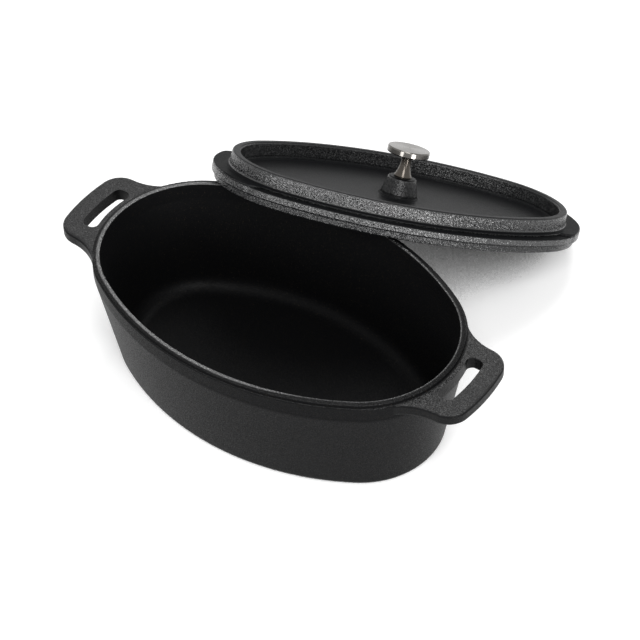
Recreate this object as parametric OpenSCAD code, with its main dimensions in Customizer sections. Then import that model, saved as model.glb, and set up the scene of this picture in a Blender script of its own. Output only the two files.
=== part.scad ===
// Mini cast iron casserole dish: an oval pot with two cast loop handles, and its oval lid,
// which leans on the back of the pot's rim with one end on the table.
// The origin is the middle of the pot's base, on the table. +X runs to the right handle,
// +Y to the back, where the lid leans, and +Z up. All sizes are in millimetres.

/* [Dish] */
// Length of the rim, without the handles
rim_length = 165; // [140:1:220]
// Width of the rim
rim_width = 107; // [96:1:140]
// Radius of the rounded ends of the rim
rim_end_radius = 42.5; // [36:0.5:46]
// Height from the table to the top of the rim
dish_height = 54; // [44:1:80]
// How far the foot of the wall stands inside the rim
base_inset = 8.3; // [4:0.1:12]
// Thickness of the wall, measured level
wall = 4; // [3.4:0.1:5]
// Thickness of the floor
floor_thick = 4; // [3:0.1:6]
// Radius of the bottom edge outside
base_round = 3; // [1.5:0.1:3.4]
// Radius between the wall and the floor inside
floor_round = 7; // [5:0.5:10]

/* [Rim] */
// Width of the flat top of the rim
rim_top = 2.6; // [2.2:0.1:3.2]
// Width of the little shoulder that runs round outside the top
shoulder_width = 0.6; // [0.5:0.1:0.9]
// Depth of the shoulder below the top of the rim
shoulder_drop = 1.3; // [1:0.1:2]
// Height of the upright band under the shoulder, and thickness of the handles
band_height = 5.6; // [4.6:0.1:7]
// Radius of the small cast edges
edge_round = 0.5; // [0.4:0.05:0.6]

/* [Dish handles] */
// Width of a handle where it is straightest
handle_width = 41; // [38:0.5:46]
// Radius of the slightly bowed outer side of a handle
handle_bow = 80; // [70:1:120]
// Radius of a handle's outer corners
handle_corner = 9.5; // [8:0.5:11]
// Radius of the rounded edges of a handle
handle_edge = 1.3; // [0.8:0.1:1.8]
// Gap between the end of the rim and the finger slot
slot_land = 1.9; // [1:0.1:4]
// Width of the finger slot, along the dish
slot_width = 6.6; // [6:0.1:7]
// Length of the finger slot, across the dish
slot_length = 25; // [22:0.5:27]
// Radius of the slot's corners
slot_corner = 2.6; // [2:0.1:3.2]
// Width of the bar outside the slot
bar_width = 8; // [7:0.1:9]

/* [Lid] */
// How far the edge of the lid lies inside the edge of the rim
lid_inset = 2.4; // [1.5:0.1:2.6]
// Thickness of the lid's flange
flange_thick = 3.1; // [2.6:0.1:4]
// Width of the outer step of the flange
step_width = 4; // [3.2:0.1:4.4]
// Height of the ledge inside that step
ledge_height = 0.9; // [0.6:0.1:1.4]
// Distance from the edge of the flange to the foot of the upright wall
lid_wall_inset = 6.4; // [6:0.1:7.4]
// Height of the upright wall above the ledge
lid_wall_height = 5.9; // [4:0.1:9]
// Thickness of the upright wall at its top
lid_wall = 3.4; // [3:0.1:4]
// Radius of the rounded edges at the top of the upright wall
lid_wall_round = 1; // [0.9:0.1:1.2]
// Thickness of the flat panel in the middle
panel_thick = 2.6; // [2.4:0.1:3]
// Depth of the locating lip under the flange
lip_depth = 3; // [2:0.1:4]
// Thickness of the locating lip
lip_thick = 2.8; // [2.4:0.1:3.4]
// Gap all round between the locating lip and the rim
lip_gap = 0.6; // [0.5:0.1:1]
// How far an ear stands out past the edge of the flange
ear_reach = 0.3; // [0.2:0.1:1.5]
// Angle round the lid's end from the tip of an ear to the middle of its corner
ear_angle = 36; // [24:1:44]
// Radius of an ear's corners
ear_corner = 6; // [4:0.5:8]

/* [Boss and knob] */
// Diameter of the cast boss where it meets the panel
boss_base = 16.4; // [15:0.1:20]
// Diameter of the boss at its top
boss_top = 12; // [10.5:0.1:13]
// Height of the boss above the panel
boss_height = 8.4; // [6:0.1:11]
// Diameter of the knob's disc
knob_width = 18; // [15:0.5:24]
// Thickness of the knob's disc
knob_thick = 2.8; // [2.2:0.1:4]
// Diameter of the knob's stem at its waist
knob_waist = 4.2; // [4:0.1:6]
// Diameter of the knob's foot
knob_foot = 7.6; // [7:0.1:9]
// Height of the stem between the boss and the disc
stem_height = 9.9; // [7:0.1:12]
// Diameter of the threaded stud under the knob
stud_width = 4; // [3.5:0.1:4]
// Room round the stud in the boss and in the washer
stud_gap = 0.25; // [0.15:0.05:0.4]
// Diameter of the washer
washer_width = 10; // [9:0.1:12]
// Thickness of the washer
washer_thick = 0.8; // [0.6:0.1:1.2]
// Width of the nut across its flats
nut_width = 7; // [6.6:0.1:8]
// Thickness of the nut
nut_thick = 3.2; // [2.6:0.1:4]

/* [How the lid leans] */
// Turn of the lid's long axis away from the dish's
lean_turn = 40.9; // [20:0.1:50]
// Slope of the lid down along its long axis
lean_slope = 18; // [6:0.1:20]
// Slope of the lid down across its long axis
lean_tilt = 25.8; // [20:0.1:30]
// Place of the lid's middle along the dish
lean_x = -0.5; // [-10:0.1:10]
// Gap left between the lid and what it leans on
lean_gap = 0.1; // [0.05:0.05:0.3]

/* [Hidden] */
iron = "#2b2c2e";
steel = "#c9c4bd";
$fn = 96;

// The rim is an oval of four arcs: two ends and two long sides, tangent where they meet.
// Every line that runs parallel to it keeps the same four centres. The angle at which the
// arcs meet is rounded, and the centres follow from it, so that the arcs join exactly.
end_centre = rim_length / 2 - rim_end_radius;
end_angle = round(1000 * (90 - 2 * atan2(rim_width / 2 - rim_end_radius, end_centre))) / 1000;
side_centre = end_centre * tan(end_angle);
side_radius = rim_end_radius + end_centre / cos(end_angle);

// Levels on the dish
shoulder_z = dish_height - shoulder_drop;
band_z = shoulder_z - band_height;
rim_inside = shoulder_width + rim_top;
floor_inset = base_inset + wall;
// How far in the swept ring of the dish runs, under the floor
dish_depth = 26;
// How far pieces of one casting run into each other
lap = 3.2;
// How far the flat core of a handle or an ear lies inside its rounded edge
core_inset = 2;
// How far a handle's root runs into the wall
root = 2;
// How far a cut runs past what it cuts
past = 1;

// Handles of the dish. Each reaches out as far as its slot and the bar outside it need. Here
// too the angle at which two arcs meet is rounded first.
handle_reach = rim_length / 2 + slot_land + slot_width + bar_width;
bow_centre = handle_reach - handle_bow;
corner_swing = handle_bow - handle_corner;
bow_angle = round(1000 * asin((handle_width / 2 - handle_corner) / corner_swing)) / 1000;
corner_x = bow_centre + corner_swing * cos(bow_angle);
corner_y = corner_swing * sin(bow_angle);
handle_half = corner_y + handle_corner;
// The flare that blends a handle into the rim runs just inside the rim's edge, so that
// the two surfaces cross instead of grazing each other
blend_sink = 0.15;
blend_radius = rim_end_radius - blend_sink;
flare_radius = ((corner_x - end_centre) ^ 2 + handle_half ^ 2 - blend_radius ^ 2)
    / (2 * (blend_radius - handle_half));
flare_y = handle_half + flare_radius;
flare_angle = atan2(flare_y, corner_x - end_centre);
slot_half = slot_length / 2;
slot_corner_y = slot_half - slot_corner;
slot_outer = handle_bow - bar_width;
slot_inner = rim_end_radius + slot_land;
slot_outer_x = bow_centre + sqrt((slot_outer - slot_corner) ^ 2 - slot_corner_y ^ 2);
slot_inner_x = end_centre + sqrt((slot_inner + slot_corner) ^ 2 - slot_corner_y ^ 2);

// Lid, from the underside of its flange
lip_inset = rim_inside + lip_gap;
ledge_inset = lid_inset + step_width;
lid_wall_foot = lid_inset + lid_wall_inset;
ledge_z = flange_thick + ledge_height;
lid_top = ledge_z + lid_wall_height;
// How far the wall leans in towards its top, outside and inside
lid_draft = 0.3;
lid_inside_draft = 0.6;
panel_inset = lid_wall_foot + lid_draft + lid_wall + lid_inside_draft;
// Radii of the lid's small corners
ledge_round = 0.4;
wall_foot_round = 1.2;
lip_round = 0.6;
panel_round = 1.6;
// How far in the swept ring of the lid runs, under the panel
lid_depth = panel_inset + 8;
lid_end_radius = rim_end_radius - lid_inset;

// An ear follows the round end of the flange, a little outside it
ear_radius = lid_end_radius + ear_reach;
ear_swing = ear_radius - ear_corner;
ear_side = ear_angle + asin(ear_corner / ear_swing);

// Boss, and the knob from the top of the boss
boss_z = panel_thick + boss_height;
boss_foot_round = 1.5;
boss_top_round = 1.2;
// Height of the straight band at the knob's foot
foot_land = 0.5;
// Distance from the disc down to the waist of the stem
waist_drop = 2.4;
knob_edge = 0.5;
// How far the stud ends beyond the nut
stud_end = 1;
// Rise of the cone that turns off the nut's corners, over a width of one cut's run
nut_chamfer = 0.7;
stud_length = boss_z + washer_thick + nut_thick + stud_end;

// Where the lid lies. It is turned and tilted, set down with the edge of its locating lip on
// the table, and then moved to the front until its underside meets the rim.
lean = [-lean_tilt, lean_slope, lean_turn];
// Down, seen from the lid, and the lid's own upward direction, seen from the dish
lid_down = [sin(lean_slope), sin(lean_tilt) * cos(lean_slope), -cos(lean_tilt) * cos(lean_slope)];
lid_up = [cos(lean_turn) * sin(lean_slope) * cos(lean_tilt) - sin(lean_turn) * sin(lean_tilt),
          sin(lean_turn) * sin(lean_slope) * cos(lean_tilt) + cos(lean_turn) * sin(lean_tilt),
          cos(lean_slope) * cos(lean_tilt)];
lean_z = oval_reach([lid_down.x, lid_down.y], lip_inset + lip_round)
    - lid_down.z * (lip_depth - lip_round) + lip_round + lean_gap;
lean_y = (oval_reach([lid_up.x, lid_up.y], shoulder_width + edge_round)
    + lid_up.z * (dish_height - edge_round) + edge_round + lean_gap
    - lid_up.x * lean_x - lid_up.z * lean_z) / lid_up.y;

// How far the oval at an inset reaches in a level direction, times the direction's length
function oval_reach(way, inset) =
    let(along = abs(way.x), across = abs(way.y), size = norm(way))
    atan2(across, along) < end_angle
        ? along * end_centre + size * (rim_end_radius - inset)
        : size * (side_radius - inset) - across * side_centre;

// Two points on the legs of a corner, where an arc of radius r would touch them
function unit(v) = v / norm(v);
function corner_half(a, b, c) = acos(unit(a - b) * unit(c - b)) / 2;
function corner_cut(a, b, c, r) =
    let(t = abs(r) / tan(corner_half(a, b, c)))
    r == 0 ? [b] : [b + t * unit(a - b), b + t * unit(c - b)];
// The centre of that arc
function corner_centre(a, b, c, r) =
    b + abs(r) / sin(corner_half(a, b, c)) * unit(unit(a - b) + unit(c - b));

// Polygon with rounded corners. Each corner has its own radius, which is negative where the
// corner points inwards and zero where it stays sharp.
module soft_polygon(points, radii) {
    n = len(points);
    difference() {
        union() {
            polygon([for (i = [0:n - 1])
                each corner_cut(points[(i + n - 1) % n], points[i], points[(i + 1) % n], radii[i])]);
            for (i = [0:n - 1]) if (radii[i] > 0) corner_disc(points, radii, i);
        }
        for (i = [0:n - 1]) if (radii[i] < 0) corner_disc(points, radii, i);
    }
}

module corner_disc(points, radii, i) {
    n = len(points);
    r = abs(radii[i]);
    translate(corner_centre(points[(i + n - 1) % n], points[i], points[(i + 1) % n], r))
        circle(r, $fn = r < 1 ? 20 : 40);
}

// Moves by a round step and then by the small rest, which keeps the last decimals
module place(by) {
    step = [for (x = by) round(100 * x) / 100];
    translate(step) translate(by - step) children();
}

// Sweeps a section round the oval. In the section x = 0 is the edge of the rim, and -x runs
// inwards.
module round_the_oval() {
    for (turn = [0, 180]) rotate([0, 0, turn]) {
        place([end_centre, 0, 0])
            rotate_extrude(angle = 2 * end_angle, start = -end_angle)
                place([rim_end_radius, 0]) children();
        place([0, -side_centre, 0])
            rotate_extrude(angle = 180 - 2 * end_angle, start = end_angle)
                place([side_radius, 0]) children();
    }
}

// The flat oval that lies a given distance inside the edge of the rim
module oval(inset) {
    joint_x = end_centre + (rim_end_radius - inset) * cos(end_angle);
    intersection() {
        translate([0, -side_centre]) circle(side_radius - inset);
        translate([0, side_centre]) circle(side_radius - inset);
        square([2 * joint_x, rim_width], center = true);
    }
    for (side = [-1, 1]) translate([side * end_centre, 0]) circle(rim_end_radius - inset);
}

// Draws something at y and again at -y
module both_sides() {
    for (side = [0, 1]) mirror([0, side, 0]) children();
}

module dish() {
    color(iron) {
        round_the_oval() dish_section();
        linear_extrude(floor_thick) oval(dish_depth - lap);
        for (turn = [0, 180]) rotate([0, 0, turn]) dish_handle();
    }
}

// Section through the dish: base, sloping wall, upright band, shoulder, rim and floor
module dish_section() {
    soft_polygon(
        [[-dish_depth, 0], [-base_inset, 0], [0, band_z], [0, shoulder_z],
         [-shoulder_width, shoulder_z], [-shoulder_width, dish_height],
         [-rim_inside, dish_height], [-floor_inset, floor_thick], [-dish_depth, floor_thick]],
        [0, base_round, 0, edge_round, 0, edge_round, edge_round, -floor_round, 0]);
}

// Cast loop handle: a flat plate with a finger slot and a rounded outer edge
module dish_handle() {
    translate([0, 0, band_z]) difference() {
        union() {
            linear_extrude(band_height) difference() {
                handle_plan(core_inset);
                oval(root);
            }
            handle_outer_edge();
        }
        translate([0, 0, -past]) linear_extrude(band_height + 2 * past) slot_plan();
    }
}

// Outline of the handle, drawn a given distance inside its edge
module handle_plan(inset) {
    far = 2 * handle_bow;
    intersection() {
        translate([bow_centre, 0]) circle(handle_bow - inset);
        polygon([[bow_centre, 0], [bow_centre + far * cos(bow_angle), -far * sin(bow_angle)],
                 [bow_centre + far * cos(bow_angle), far * sin(bow_angle)]]);
    }
    both_sides() {
        translate([corner_x, corner_y]) circle(handle_corner - inset);
        difference() {
            polygon([[end_centre, 0], [corner_x, 0], [corner_x, flare_y]]);
            translate([corner_x, flare_y]) circle(flare_radius + inset);
        }
    }
}

// Section of a rounded edge of the handle. The edge is at x = 0 and the metal at -x.
module handle_edge_section() {
    soft_polygon([[-lap, 0], [0, 0], [0, band_height], [-lap, band_height]],
                 [0, handle_edge, handle_edge, 0]);
}

// Sweeps a section along an arc. In the section x = 0 lies on the arc.
module along_arc(centre, radius, from, to) {
    place([centre.x, centre.y, 0]) rotate_extrude(angle = to - from, start = from)
        place([radius, 0]) children();
}

module handle_outer_edge() {
    along_arc([bow_centre, 0], handle_bow, -bow_angle, bow_angle) handle_edge_section();
    both_sides() {
        along_arc([corner_x, corner_y], handle_corner, bow_angle, 90) handle_edge_section();
        along_arc([corner_x, flare_y], flare_radius, 180 + flare_angle, 270)
            mirror([1, 0]) handle_edge_section();
    }
}

// Outline of the finger slot. Its inner side runs parallel to the rim and its outer side
// parallel to the bowed side of the handle.
module slot_plan() {
    intersection() {
        difference() {
            translate([bow_centre, 0]) circle(slot_outer);
            translate([end_centre, 0]) circle(slot_inner);
        }
        translate([end_centre, -slot_corner_y]) square([handle_reach, 2 * slot_corner_y]);
    }
    translate([slot_inner_x, -slot_half]) square([slot_outer_x - slot_inner_x, slot_length]);
    both_sides() for (x = [slot_inner_x, slot_outer_x])
        translate([x, slot_corner_y]) circle(slot_corner);
}

// Puts what is drawn on the lid, level with the underside of its flange, where the lid lies
module on_the_lid() {
    translate([lean_x, lean_y, lean_z]) rotate(lean) children();
}

module lid() {
    color(iron) on_the_lid() difference() {
        union() {
            round_the_oval() lid_section();
            linear_extrude(panel_thick) oval(lid_depth - lap);
            for (turn = [0, 180]) rotate([0, 0, turn]) lid_ear();
            lid_boss();
        }
        translate([0, 0, -past]) stud_hole(boss_z);
    }
}

// Section through the lid: panel, locating lip, stepped flange and upright wall
module lid_section() {
    soft_polygon(
        [[-lid_depth, 0], [-lip_inset - lip_thick, 0], [-lip_inset - lip_thick, -lip_depth],
         [-lip_inset, -lip_depth], [-lip_inset, 0], [-lid_inset, 0], [-lid_inset, flange_thick],
         [-ledge_inset, flange_thick], [-ledge_inset, ledge_z], [-lid_wall_foot, ledge_z],
         [-lid_wall_foot - lid_draft, lid_top], [-lid_wall_foot - lid_draft - lid_wall, lid_top],
         [-panel_inset, panel_thick], [-lid_depth, panel_thick]],
        [0, -lip_round, lip_round, lip_round, 0, edge_round, edge_round,
         0, ledge_round, -wall_foot_round, lid_wall_round, lid_wall_round, -panel_round, 0]);
}

// Flat ear round the end of the lid, level with the ledge
module lid_ear() {
    difference() {
        union() {
            translate([end_centre, 0, 0]) linear_extrude(ledge_z) ear_plan(core_inset);
            along_arc([end_centre, 0], ear_radius, -ear_angle, ear_angle) ear_edge_section();
            both_sides() along_arc(
                [end_centre + ear_swing * cos(ear_angle), ear_swing * sin(ear_angle)],
                ear_corner, ear_angle, ear_side + 90) ear_edge_section();
        }
        translate([0, 0, -past]) linear_extrude(ledge_z + 2 * past)
            oval(lid_wall_foot + lid_draft);
    }
}

// Outline of an ear from the centre of the end arc, drawn a given distance inside its edge
module ear_plan(inset) {
    side = sqrt(ear_swing ^ 2 - ear_corner ^ 2);
    intersection() {
        circle(ear_radius - inset);
        polygon([[0, 0], 2 * ear_radius * [cos(ear_angle), -sin(ear_angle)],
                 2 * ear_radius * [cos(ear_angle), sin(ear_angle)]]);
    }
    both_sides() translate(ear_swing * [cos(ear_angle), sin(ear_angle)])
        circle(ear_corner - inset);
    polygon([[0, 0], side * [cos(ear_side), -sin(ear_side)],
             side * [cos(ear_side), sin(ear_side)]]);
}

// Section of an ear's rounded edge. The edge is at x = 0 and the metal at -x.
module ear_edge_section() {
    soft_polygon([[-lap, 0], [0, 0], [0, ledge_z], [-lap, ledge_z]],
                 [0, edge_round, edge_round, 0]);
}

// Cast boss in the middle of the lid, which carries the knob
module lid_boss() {
    rotate_extrude() soft_polygon(
        [[0, 0], [boss_base / 2 + lap, 0], [boss_base / 2 + lap, panel_thick],
         [boss_base / 2, panel_thick], [boss_top / 2, boss_z], [0, boss_z]],
        [0, 0, 0, -boss_foot_round, boss_top_round, 0]);
}

// Hole for the stud through something of a given thickness
module stud_hole(thick) {
    cylinder(h = thick + 2 * past, d = stud_width + 2 * stud_gap);
}

// Turned knob: disc, waisted stem and the threaded stud that goes down through the boss
module lid_knob() {
    waist_z = stem_height - waist_drop;
    waist_step = (knob_foot - knob_waist) / 2;
    waist_radius = (waist_step ^ 2 + (waist_z - foot_land) ^ 2) / (2 * waist_step);
    color(steel) on_the_lid() translate([0, 0, boss_z]) rotate_extrude() {
        difference() {
            square([knob_foot / 2, stem_height + knob_thick / 2]);
            translate([knob_waist / 2 + waist_radius, waist_z]) circle(waist_radius);
        }
        soft_polygon(
            [[0, stem_height], [knob_width / 2, stem_height],
             [knob_width / 2, stem_height + knob_thick], [0, stem_height + knob_thick]],
            [0, knob_edge, knob_edge, 0]);
        translate([0, -stud_length]) square([stud_width / 2, stud_length + foot_land]);
    }
}

module knob_washer() {
    color(steel) on_the_lid() translate([0, 0, -washer_thick]) difference() {
        cylinder(h = washer_thick, d = washer_width);
        translate([0, 0, -past]) stud_hole(washer_thick);
    }
}

// Hexagon nut with its corners turned off, screwed on the end of the stud
module knob_nut() {
    across_corners = nut_width / cos(30);
    color(steel) on_the_lid() translate([0, 0, -washer_thick - nut_thick]) difference() {
        intersection() {
            cylinder(h = nut_thick, d = across_corners, $fn = 6);
            rotate_extrude() polygon(
                [[0, 0], [nut_width / 2, 0], [nut_width / 2 + past, nut_chamfer],
                 [nut_width / 2 + past, nut_thick], [0, nut_thick]]);
        }
        translate([0, 0, -past]) cylinder(h = nut_thick + 2 * past, d = stud_width);
    }
}

dish();
lid();
lid_knob();
knob_washer();
knob_nut();
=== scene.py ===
# %% [markdown]
# A small oval casserole dish in cast iron, with its lid leaning on the back of the rim.
#
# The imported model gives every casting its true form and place, so this script is about looks:
# the skin of the iron, the turned steel of the knob, the light, the floor and the camera.
# Lengths are in metres, +Z is up, and the origin is the middle of the dish's base.

# %% Load the frame
from math import cos, radians, sin, tan

import bmesh
import bpy
from mathutils import Matrix, Vector

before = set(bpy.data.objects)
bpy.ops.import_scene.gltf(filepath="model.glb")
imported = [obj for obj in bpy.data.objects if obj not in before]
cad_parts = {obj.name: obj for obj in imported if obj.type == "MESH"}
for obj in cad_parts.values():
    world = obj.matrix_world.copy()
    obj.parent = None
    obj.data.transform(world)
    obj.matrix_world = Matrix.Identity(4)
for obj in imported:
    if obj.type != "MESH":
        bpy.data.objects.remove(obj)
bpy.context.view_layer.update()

MM = 0.001
print("nodes:", ", ".join(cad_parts))

# %% [markdown]
# The photograph was taken from above the right front with a long lens. A long lens far away
# keeps the two ends of the oval nearly the same size, so the distance matters as much as the
# angle. The camera is placed by an azimuth, an elevation and a distance from the point that
# it looks at, and then rolled a little, because the photograph isn't quite level.

# %% Camera
camera_azimuth = 36.17
camera_elevation = 45.17
camera_roll = -1.61
camera_distance = 1100.7 * MM
camera_lens_mm = 152.05
camera_aim = Vector((8.76, 16.29, 27.42)) * MM
camera_sight = 20.0


def direction(azimuth, elevation):
    """Unit vector for two angles in degrees: a level one that counts from the front towards
    the right, and one above the horizon."""
    a, e = radians(azimuth), radians(elevation)
    return Vector((sin(a) * cos(e), -cos(a) * cos(e), sin(e)))


camera = bpy.data.objects.new("camera", bpy.data.cameras.new("camera"))
bpy.context.collection.objects.link(camera)
bpy.context.scene.camera = camera
camera.data.lens = camera_lens_mm
camera.data.clip_end = camera_sight
towards_camera = direction(camera_azimuth, camera_elevation)
roll = Matrix.Rotation(radians(camera_roll), 3, "Z").to_quaternion()
turn = towards_camera.to_track_quat("Z", "Y") @ roll
camera_place = camera_aim + camera_distance * towards_camera
camera.matrix_world = Matrix.LocRotScale(camera_place, turn, None)
print("camera at", [round(x, 3) for x in camera_place])

# %% [markdown]
# Studio light for dark iron is large and soft: the skin shows by the broad highlights on its
# bumps. The key lamp hangs at the front right and throws the soft shadows. A lamp behind skims
# the level tops, and two low ones at the right and the front catch the lid's upright wall. The
# lamps are kept at a level at which a colour renders about as it is written.

# %% Lamps
bpy.context.scene.view_settings.view_transform = "Standard"


def add_lamp(name, azimuth, elevation, distance, size, watts):
    """Adds a round lamp that shines at the middle of the dish's base. Size is its diameter."""
    lamp = bpy.data.lights.new(name, "AREA")
    lamp.shape = "DISK"
    lamp.size = size
    lamp.energy = watts
    thing = bpy.data.objects.new(name, lamp)
    bpy.context.collection.objects.link(thing)
    way = direction(azimuth, elevation)
    thing.matrix_world = Matrix.LocRotScale(way * distance, way.to_track_quat("Z", "Y"), None)
    print(name, "shines with", watts, "W from", [round(x, 2) for x in way * distance])


add_lamp("key_lamp", azimuth=44, elevation=56, distance=1.6, size=0.8, watts=12)
add_lamp("back_lamp", azimuth=-165, elevation=62, distance=1.6, size=0.7, watts=9)
add_lamp("right_lamp", azimuth=62, elevation=8, distance=1.7, size=0.6, watts=22)
add_lamp("front_lamp", azimuth=-4, elevation=18, distance=1.8, size=0.6, watts=13)

# %% [markdown]
# The world is the even light of a white room. The camera and mirrors have to see it at full
# white, and the object would be far too bright under that much light. So the world asks what
# kind of ray looks at it: it shows itself as white, and lights the iron at a lower level.
#
# A shader is a tree of nodes, and most of its nodes only do sums. Written out one by one they
# would hide what they are for. So short helpers add them, here and in later cells, and each
# takes plain numbers and the outputs of other nodes alike.

# %% World
world_level = 0.4


def feed(tree, socket, value):
    """Links a socket to another node's output, or sets it to a plain value."""
    if isinstance(value, bpy.types.NodeSocket):
        tree.links.new(value, socket)
    else:
        socket.default_value = value


def calc(tree, operation, *values):
    """Adds a Math node."""
    node = tree.nodes.new("ShaderNodeMath")
    node.operation = operation
    for socket, value in zip(node.inputs, values):
        feed(tree, socket, value)
    return node.outputs[0]


def between(tree, share, low, high):
    """Goes from low to high while share goes from 0 to 1."""
    return calc(tree, "MULTIPLY_ADD", share, high - low, low)


def rays_that_show(tree):
    """1 for rays that come from the camera, from a mirror or through glass, and 0 for others."""
    paths = tree.nodes.new("ShaderNodeLightPath")
    rays = paths.outputs["Is Camera Ray"]
    for more in ("Is Glossy Ray", "Is Transmission Ray"):
        rays = calc(tree, "MAXIMUM", rays, paths.outputs[more])
    return rays


world = bpy.data.worlds.new("white_room")
bpy.context.scene.world = world
world.use_nodes = True
background = world.node_tree.nodes["Background"]
background.inputs["Color"].default_value = (1, 1, 1, 1)
strength = between(world.node_tree, rays_that_show(world.node_tree), world_level, 1)
feed(world.node_tree, background.inputs["Strength"], strength)
print("the world shows at 1 and lights at", world_level)

# %% [markdown]
# The floor is painted a flat, nearly white colour. A small glow lifts the open floor to full
# white for the camera and for reflections, without lighting the object. A real shadow would
# be washed out by that glow. So ambient occlusion measures how much hangs over a spot, and
# there the glow fades and the colour darkens to shadow_tone. This is a painted shadow under
# the lid, added to the real shadows of the lamps.

# %% Paint for the floor
floor_glow = 0.3
floor_tone = (0.9, 0.9, 0.9)
shadow_tone = (0.3, 0.3, 0.3)
shadow_reach = 0.12
shadow_samples = 8
covered, uncovered = 0.15, 0.26


def product(tree, result, *factors):
    """Multiplies two or more values."""
    for factor in factors:
        result = calc(tree, "MULTIPLY", result, factor)
    return result


def spread(tree, value, low, high, to_low=0.0, to_high=1.0):
    """Goes smoothly from to_low to to_high while value goes from low to high."""
    node = tree.nodes.new("ShaderNodeMapRange")
    node.interpolation_type = "SMOOTHSTEP"
    ends = {"From Min": low, "From Max": high, "To Min": to_low, "To Max": to_high}
    for label, number in ends.items():
        node.inputs[label].default_value = number
    feed(tree, node.inputs["Value"], value)
    return node.outputs["Result"]


def mix_colours(tree, share, first, second):
    """Mixes two colours, given as red, green and blue."""
    node = tree.nodes.new("ShaderNodeMix")
    node.data_type = "RGBA"
    for label, value in {"Factor": share, "A": (*first, 1), "B": (*second, 1)}.items():
        feed(tree, node.inputs[label], value)
    return node.outputs["Result"]


def material(name):
    """Makes a material, and gives it back with its tree and its Principled BSDF."""
    made = bpy.data.materials.new(name)
    made.use_nodes = True
    return made, made.node_tree, made.node_tree.nodes["Principled BSDF"]


floor_paint, tree, bsdf = material("white_floor")
nearby = tree.nodes.new("ShaderNodeAmbientOcclusion")
nearby.samples = shadow_samples
nearby.inputs["Distance"].default_value = shadow_reach
# Painted shadow: where much hangs over the floor, its colour darkens and its glow fades.
outside_painted_shadow = spread(tree, nearby.outputs["AO"], covered, uncovered)
glow = product(tree, outside_painted_shadow, rays_that_show(tree), floor_glow)
bsdf.inputs["Roughness"].default_value = 0.9
bsdf.inputs["Specular IOR Level"].default_value = 0
bsdf.inputs["Emission Color"].default_value = (1, 1, 1, 1)
feed(tree, bsdf.inputs["Base Color"], mix_colours(tree, outside_painted_shadow, shadow_tone, floor_tone))
feed(tree, bsdf.inputs["Emission Strength"], glow)
print(floor_paint.name, "has", len(tree.nodes), "nodes")

# %% [markdown]
# The floor itself is one flat disc under the dish's base, so wide that the picture never shows
# its edge. It belongs to the stage and not to the object.

# %% Floor
floor_radius = 3.0
floor_facets = 128
floor_mesh = bpy.data.meshes.new("floor")
bm = bmesh.new()
bmesh.ops.create_circle(bm, cap_ends=True, radius=floor_radius, segments=floor_facets)
bm.to_mesh(floor_mesh)
bm.free()
floor_mesh.materials.append(floor_paint)
floor = bpy.data.objects.new("floor", floor_mesh)
bpy.context.collection.objects.link(floor)
print("floor radius in m:", floor_radius)

# %% [markdown]
# Cast iron keeps the skin of the sand it was poured in: pebbles of about half a millimetre and
# a finer grain between them. Modelled bumps would need millions of faces, and all that the eye
# sees of them is a thousand small facets that each catch the light or don't. So the skin is
# made by turning the direction of the surface. Noise gives each spot a colour at random, and
# read as a vector, that colour is a random tilt.

# %% A random tilt
pebble_size = 0.5 * MM
grain_size = 0.4 * MM
middle_grey = (0.5, 0.5, 0.5)


def vector_calc(tree, operation, *values):
    """Adds a Vector Math node. Its result is a number for a dot product or a length."""
    node = tree.nodes.new("ShaderNodeVectorMath")
    node.operation = operation
    for socket, value in zip(node.inputs, values):
        feed(tree, socket, value)
    return node.outputs["Value" if operation in ("DOT_PRODUCT", "LENGTH") else "Vector"]


def scaled(tree, vector, factor):
    """Makes a vector longer or shorter."""
    node = tree.nodes.new("ShaderNodeVectorMath")
    node.operation = "SCALE"
    feed(tree, node.inputs["Vector"], vector)
    feed(tree, node.inputs["Scale"], factor)
    return node.outputs["Vector"]


def noise(tree, place, size, detail, output="Fac"):
    """Adds noise with spots of a given size. Each step of detail adds spots half as large."""
    node = tree.nodes.new("ShaderNodeTexNoise")
    node.inputs["Detail"].default_value = detail
    feed(tree, node.inputs["Vector"], place)
    feed(tree, node.inputs["Scale"], calc(tree, "DIVIDE", 1.0, size))
    return node.outputs[output]


def random_tilt(tree, place, size, amount, detail):
    """A random vector round zero for each spot of a given size."""
    colour = noise(tree, place, size, detail, output="Color")
    return scaled(tree, vector_calc(tree, "SUBTRACT", colour, middle_grey), amount)


print("pebbles and grains in mm:", round(pebble_size / MM, 2), round(grain_size / MM, 2))

# %% [markdown]
# Both castings have this skin, each at its own strength. A shader node group holds the recipe
# once, with named inputs, and each casting uses it with its own values. Besides the turned
# normal it gives a speckle: the few grains that have a paler colour. The group has no shader
# in it. That stays in each material.

# %% A node group for the skin of a casting
speckle_from, speckle_to = 0.66, 0.8


def new_group(name, inputs, outputs):
    """Makes a shader node group. inputs and outputs are lists of (name, kind, default)."""
    group = bpy.data.node_groups.new(name, "ShaderNodeTree")
    for in_out, sockets in (("INPUT", inputs), ("OUTPUT", outputs)):
        for label, kind, default in sockets:
            kind = "NodeSocket" + kind
            socket = group.interface.new_socket(label, in_out=in_out, socket_type=kind)
            if default is not None:
                socket.default_value = default
    group_in = group.nodes.new("NodeGroupInput")
    group_out = group.nodes.new("NodeGroupOutput")
    return group, group_in.outputs, group_out.inputs


skin, skin_in, skin_out = new_group(
    "cast_skin",
    [("Place", "Vector", None), ("Normal", "Vector", None), ("Pebble Size", "Float", pebble_size),
     ("Grain Size", "Float", grain_size), ("Pebbles", "Float", 2.0), ("Grain", "Float", 0.2)],
    [("Normal", "Vector", None), ("Speckle", "Float", None)])

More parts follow.
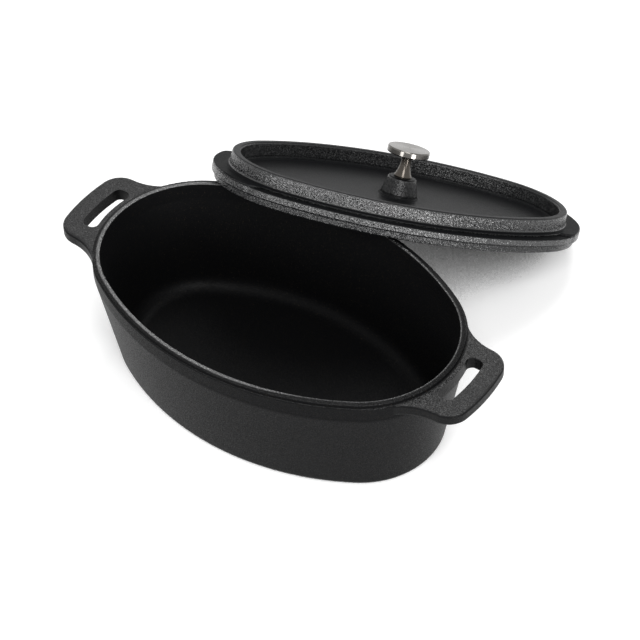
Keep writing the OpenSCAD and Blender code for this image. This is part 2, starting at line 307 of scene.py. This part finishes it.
pebble_tilt = random_tilt(
    skin, skin_in["Place"], skin_in["Pebble Size"], skin_in["Pebbles"], detail=1.0)
grain_tilt = random_tilt(
    skin, skin_in["Place"], skin_in["Grain Size"], skin_in["Grain"], detail=2.0)
tilt = vector_calc(skin, "ADD", pebble_tilt, grain_tilt)
tilted = vector_calc(skin, "NORMALIZE", vector_calc(skin, "ADD", skin_in["Normal"], tilt))
feed(skin, skin_out["Normal"], tilted)
grains = noise(skin, skin_in["Place"], skin_in["Grain Size"], detail=1.0)
feed(skin, skin_out["Speckle"], spread(skin, grains, speckle_from, speckle_to))
print("group", skin.name, "has", len(skin.nodes), "nodes")

# %% [markdown]
# The iron itself is nearly black. What the eye reads as iron is the broken highlight on the
# skin, so the colour stays simple, and the tilt of the skin, the roughness and the strength of
# the highlight do the work. Each casting has rough parts, where the mould was rough, and
# smoother ones. Its own finish tells them apart, and the recipe below is the same for both.

# %% A recipe for iron


def surface_place(tree):
    """Where a point of the surface is, and which way it faces. The castings stay where the
    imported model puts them, so both are in the shared frame."""
    here = tree.nodes.new("ShaderNodeNewGeometry")
    return here.outputs["Position"], here.outputs["Normal"]


def place_group(tree, group, **values):
    """Adds a node group to a material and feeds its inputs."""
    node = tree.nodes.new("ShaderNodeGroup")
    node.node_tree = group
    for label, value in values.items():
        feed(tree, node.inputs[label], value)
    return node.outputs


def iron(name, dark, bright, finish, pebbles, grain, roughness, shine):
    """Iron with its skin. Roughness and shine are pairs: on smooth parts and on pebbled ones.
    finish gives how pebbled a point is, how bright its skin is, and its smooth normal."""
    made, tree, bsdf = material(name)
    place, normal = surface_place(tree)
    mask, light, normal = finish(tree, place, normal)
    skin_here = place_group(tree, skin, Place=place, Normal=normal, Grain=grain,
                            Pebbles=calc(tree, "MULTIPLY", mask, pebbles))
    colour = mix_colours(tree, skin_here["Speckle"], dark, bright)
    feed(tree, bsdf.inputs["Base Color"], colour)
    feed(tree, bsdf.inputs["Normal"], skin_here["Normal"])
    feed(tree, bsdf.inputs["Roughness"], between(tree, mask, *roughness))
    gloss = calc(tree, "MULTIPLY", between(tree, mask, *shine), light)
    feed(tree, bsdf.inputs["Specular IOR Level"], gloss)
    print(name, "has", len(tree.nodes), "nodes")
    return made


# %% [markdown]
# The parts of the lid are told apart by where they are on it, so the script has to know how
# the lid stands. Its washer is a flat ring square to its axis, so the largest face of the
# washer gives the axis. The middle of the lid is the point of that axis at the underside of
# the flange, and is measured down from the top of the knob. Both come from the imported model,
# and follow the lid when it is moved there.

# %% How the lid stands
flange_to_knob_top = 23.7 * MM
washer_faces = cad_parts["knob_washer"].data.polygons
lid_up = max(washer_faces, key=lambda face: face.area).normal.copy()
if lid_up.z < 0:
    lid_up.negate()
knob_points = [vertex.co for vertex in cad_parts["lid_knob"].data.vertices]
knob_middle = sum(knob_points, Vector()) / len(knob_points)
knob_top = max(lid_up.dot(point) for point in knob_points)
lid_middle = knob_middle + lid_up * (knob_top - flange_to_knob_top - lid_up.dot(knob_middle))
print("the lid faces", [round(x, 4) for x in lid_up])
print("its middle in mm:", [round(x / MM, 2) for x in lid_middle])

# %% [markdown]
# On the lid the upright faces are pebbled, and the level ones are nearly smooth: the sunk
# panel, the top of the flange and the top of the boss. Which way a face looks tells the two
# apart. The inside of the wall and the boss are a little calmer than the outside. Three bands
# round the lid get less gloss and so render darker. Two of them are painted shade: the stepped
# top of the flange at the foot of the wall, and the lip under the flange. The third is the
# seam at the flange's lower edge. They are ranges of height along the axis.

# %% The lid's finish and painted shade
steep_facing, level_facing = 0.5, 0.85
level_pebbles, inside_pebbles, boss_pebbles = 0.08, 0.6, 0.7
inside_plane, outside_plane = -10 * MM, 30 * MM
boss_reach, panel_reach = 11 * MM, 13 * MM
soft_edge = 0.3 * MM
step_light, seam_light, lip_light = 0.2, 0.15, 0.5
step_height, step_half = 3.6 * MM, 0.6 * MM
seam_height, seam_half = 0.1 * MM, 0.3 * MM


def dark_line(tree, height, middle, half_width, light):
    """A dark band round the lid at one height, and 1 away from it."""
    away = calc(tree, "ABSOLUTE", calc(tree, "SUBTRACT", height, middle))
    return spread(tree, away, half_width, half_width + soft_edge, light, 1)


def lid_finish_and_shade(tree, place, normal):
    """Pebbled on the upright faces, calmer inside the wall and on the boss, nearly smooth on
    level faces. Painted darker as shade on the flange's stepped top and on the lip, and darker
    at the seam under its edge."""
    from_middle = vector_calc(tree, "SUBTRACT", place, lid_middle)
    height = vector_calc(tree, "DOT_PRODUCT", from_middle, lid_up)
    distance = vector_calc(tree, "LENGTH", from_middle)
    facing_up = calc(tree, "ABSOLUTE", vector_calc(tree, "DOT_PRODUCT", normal, lid_up))
    face_plane = vector_calc(tree, "DOT_PRODUCT", normal, from_middle)
    upright = spread(tree, facing_up, steep_facing, level_facing, 1, level_pebbles)
    outside = spread(tree, face_plane, inside_plane, outside_plane, inside_pebbles, 1)
    boss = spread(tree, distance, boss_reach, panel_reach, boss_pebbles, 1)
    # Painted shade: the step at the wall's foot and the lip under the flange lose gloss.
    step = dark_line(tree, height, step_height, step_half, step_light)
    seam = dark_line(tree, height, seam_height, seam_half, seam_light)
    lip = spread(tree, height, -soft_edge, soft_edge, lip_light, 1)
    return product(tree, upright, outside, boss), product(tree, lip, seam, step), normal


lid_iron = iron("pebbled_iron", dark=(0.005, 0.0053, 0.0058), bright=(0.02, 0.019, 0.017),
                finish=lid_finish_and_shade, pebbles=1.9, grain=0.3,
                roughness=(0.48, 0.26), shine=(0.042, 0.75))

# %% [markdown]
# The rim of the dish is an oval of four arcs: one round each end and a flatter one along each
# side, and they meet without a corner. The bands of the rim follow that oval, so the finish
# needs the distance from it. Near an end that is the distance from the end's centre less its
# radius, and along a side the same with the side's centre and radius.

# %% The oval of the rim
end_centre = 40.0 * MM
end_radius = 42.5 * MM
end_angle = radians(59.247)
side_centre = end_centre * tan(end_angle)
side_radius = end_radius + end_centre / cos(end_angle)
rim_half_length = end_centre + end_radius
rim_half_width = side_radius - side_centre


def split(tree, vector):
    """Gives the three parts of a vector."""
    node = tree.nodes.new("ShaderNodeSeparateXYZ")
    feed(tree, node.inputs[0], vector)
    return tuple(node.outputs)


def join(tree, x, y, z):
    """Makes a vector from its three parts."""
    node = tree.nodes.new("ShaderNodeCombineXYZ")
    for socket, value in zip(node.inputs, (x, y, z)):
        feed(tree, socket, value)
    return node.outputs[0]


def past_the_rim(tree, place):
    """How far a point lies outside the oval edge of the rim, or inside it when negative."""
    x, y, _ = split(tree, vector_calc(tree, "ABSOLUTE", place))
    from_end = calc(tree, "SUBTRACT", x, end_centre)
    at_end = calc(tree, "GREATER_THAN", calc(tree, "MULTIPLY", from_end, tan(end_angle)), y)
    end_distance = vector_calc(tree, "LENGTH", join(tree, from_end, y, 0))
    from_side = join(tree, x, calc(tree, "ADD", y, side_centre), 0)
    side_distance = vector_calc(tree, "LENGTH", from_side)
    choose = tree.nodes.new("ShaderNodeMix")
    feed(tree, choose.inputs["Factor"], at_end)
    feed(tree, choose.inputs["A"], calc(tree, "SUBTRACT", side_distance, side_radius))
    feed(tree, choose.inputs["B"], calc(tree, "SUBTRACT", end_distance, end_radius))
    return choose.outputs["Result"]


rim_size = (2 * rim_half_length, 2 * rim_half_width)
print("length and width of the rim in mm:", [round(x / MM, 1) for x in rim_size])

# %% [markdown]
# On the dish only the top of the rim and the tops of the handles are pebbled. The wall and the
# inside are smoother. The rim's top has an outer slope that leans outwards, with less gloss as
# painted shade, and an inner edge with more gloss as a painted highlight. Both lie a little
# further in at the right end. The upright band under the rim leans down a little. Both leans
# are made in the normal, so that they change how light falls on the casting and leave the
# imported model's shape as it is.

# %% The dish's finish and painted light
top_from, top_to = 44 * MM, 47 * MM
wall_pebbles = 0.06
right_from, right_to, right_shift = 10 * MM, 50 * MM, 1.0 * MM
slope_inner, slope_crest, rim_soft = -2.0 * MM, -1.1 * MM, 0.2 * MM
slope_light, slope_lean = 0.3, 0.7
edge_outer, edge_crest = -1.5 * MM, -2.1 * MM
edge_inner, edge_rise = -3.6 * MM, -3.2 * MM
edge_light = 3.0
band_foot, band_soft = 47.1 * MM, 0.4 * MM
band_facing, band_upright = 0.3, 0.1
band_lean = -0.16


def rim_bands(tree, place, high, top):
    """The rim's outer slope, for painted shade, and its inner edge, for a painted highlight,
    each as 1 there and 0 elsewhere.
    """
    along, _, _ = split(tree, place)
    past = past_the_rim(tree, place)
    # At the right end both bands move further in, so the painted shade of the slope covers more
    # of the rim's top there.
    shifted_past = calc(tree, "ADD", past, spread(tree, along, right_from, right_to, 0, right_shift))
    slope = product(tree, high, spread(tree, shifted_past, slope_inner, slope_crest),
                    spread(tree, past, rim_soft, -rim_soft))
    edge = product(tree, top, spread(tree, shifted_past, edge_outer, edge_crest),
                   spread(tree, past, edge_inner, edge_rise))
    return slope, edge


def dish_finish_and_painted_light(tree, place, normal):
    """Pebbled on top of the rim and the handles. The rim's outer slope leans out and is painted
    darker as shade, its inner edge is painted brighter as a highlight, and the band under the
    rim leans down."""
    _, _, height = split(tree, place)
    _, _, up = split(tree, normal)
    high = spread(tree, height, top_from, top_to)
    top = product(tree, high, spread(tree, up, steep_facing, level_facing))
    slope, edge = rim_bands(tree, place, high, top)
    # Painted light: the inner edge gets up to four times the gloss, and the slope less.
    light = calc(tree, "MULTIPLY_ADD", edge, edge_light, between(tree, slope, 1, slope_light))
    band = product(tree, spread(tree, height, band_foot - band_soft, band_foot + band_soft),
                   spread(tree, calc(tree, "ABSOLUTE", up), band_facing, band_upright))
    squash = ((rim_half_width / rim_half_length) ** 2, 1, 0)
    outward = vector_calc(tree, "NORMALIZE", vector_calc(tree, "MULTIPLY", place, squash))
    lean = vector_calc(tree, "ADD", join(tree, 0, 0, product(tree, band, band_lean)),
                       scaled(tree, outward, product(tree, slope, slope_lean)))
    bent = vector_calc(tree, "NORMALIZE", vector_calc(tree, "ADD", normal, lean))
    return between(tree, top, wall_pebbles, 1), light, bent


dish_iron = iron("seasoned_iron", dark=(0.004, 0.0041, 0.0044), bright=(0.03, 0.024, 0.017),
                 finish=dish_finish_and_painted_light, pebbles=2.2, grain=0.7,
                 roughness=(0.42, 0.3), shine=(0.03, 0.34))

# %% [markdown]
# The knob, its washer and its nut are stainless steel. A lathe leaves fine rings round the
# axis, and each ring mirrors a lamp as a thin line, so the highlight is drawn out across the
# rings. An anisotropic shader does that without modelled rings. It has to be told a direction
# on the surface: here the one square to the rings, which runs along the axis on the stem and
# from the middle outwards on the disc.

# %% Turned steel
stem_reach, disc_reach = 4.2 * MM, 4.7 * MM
side_facing, top_facing = 0.9, 0.95
shaded_top_share = 0.6
# The disc's side has the steel's own tone. The darker stem tone and the share on the disc's top
# are painted shade.
shaded_stem_tone = (0.08, 0.071, 0.062)
disc_tone = (0.15, 0.143, 0.134)


def turned_steel():
    """Satin steel with the fine rings of a lathe. The stem under the disc, and less so the
    disc's top, are painted darker than the disc's side, as shade on one steel.
    """
    made, tree, bsdf = material("turned_steel")
    place, normal = surface_place(tree)
    outward = vector_calc(tree, "SUBTRACT", place, knob_middle)
    across = vector_calc(tree, "CROSS_PRODUCT", lid_up, outward)
    along = vector_calc(tree, "CROSS_PRODUCT", across, normal)
    top = spread(tree, vector_calc(tree, "DOT_PRODUCT", normal, lid_up), side_facing, top_facing)
    wide = spread(tree, vector_calc(tree, "LENGTH", across), stem_reach, disc_reach)
    # Painted shade: the stem, and less so the disc's top, get a darker copy of the steel's tone.
    disc = product(tree, calc(tree, "MAXIMUM", wide, top), between(tree, top, 1, shaded_top_share))
    feed(tree, bsdf.inputs["Base Color"], mix_colours(tree, disc, shaded_stem_tone, disc_tone))
    feed(tree, bsdf.inputs["Tangent"], vector_calc(tree, "NORMALIZE", along))
    bsdf.inputs["Metallic"].default_value = 1
    bsdf.inputs["Anisotropic"].default_value = 0.7
    bsdf.inputs["Roughness"].default_value = 0.22
    return made


steel = turned_steel()
print(steel.name, "has", len(steel.node_tree.nodes), "nodes")

# %% [markdown]
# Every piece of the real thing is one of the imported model's nodes, so no piece is added or
# replaced here. Each node keeps its mesh and gets its finish by its material slots.

# %% Give each piece its finish
finishes = {"dish": dish_iron, "lid": lid_iron, "lid_knob": steel,
            "knob_washer": steel, "knob_nut": steel}
for name, finish in finishes.items():
    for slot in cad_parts[name].material_slots:
        slot.material = finish
    print(name, "is made of", finish.name)
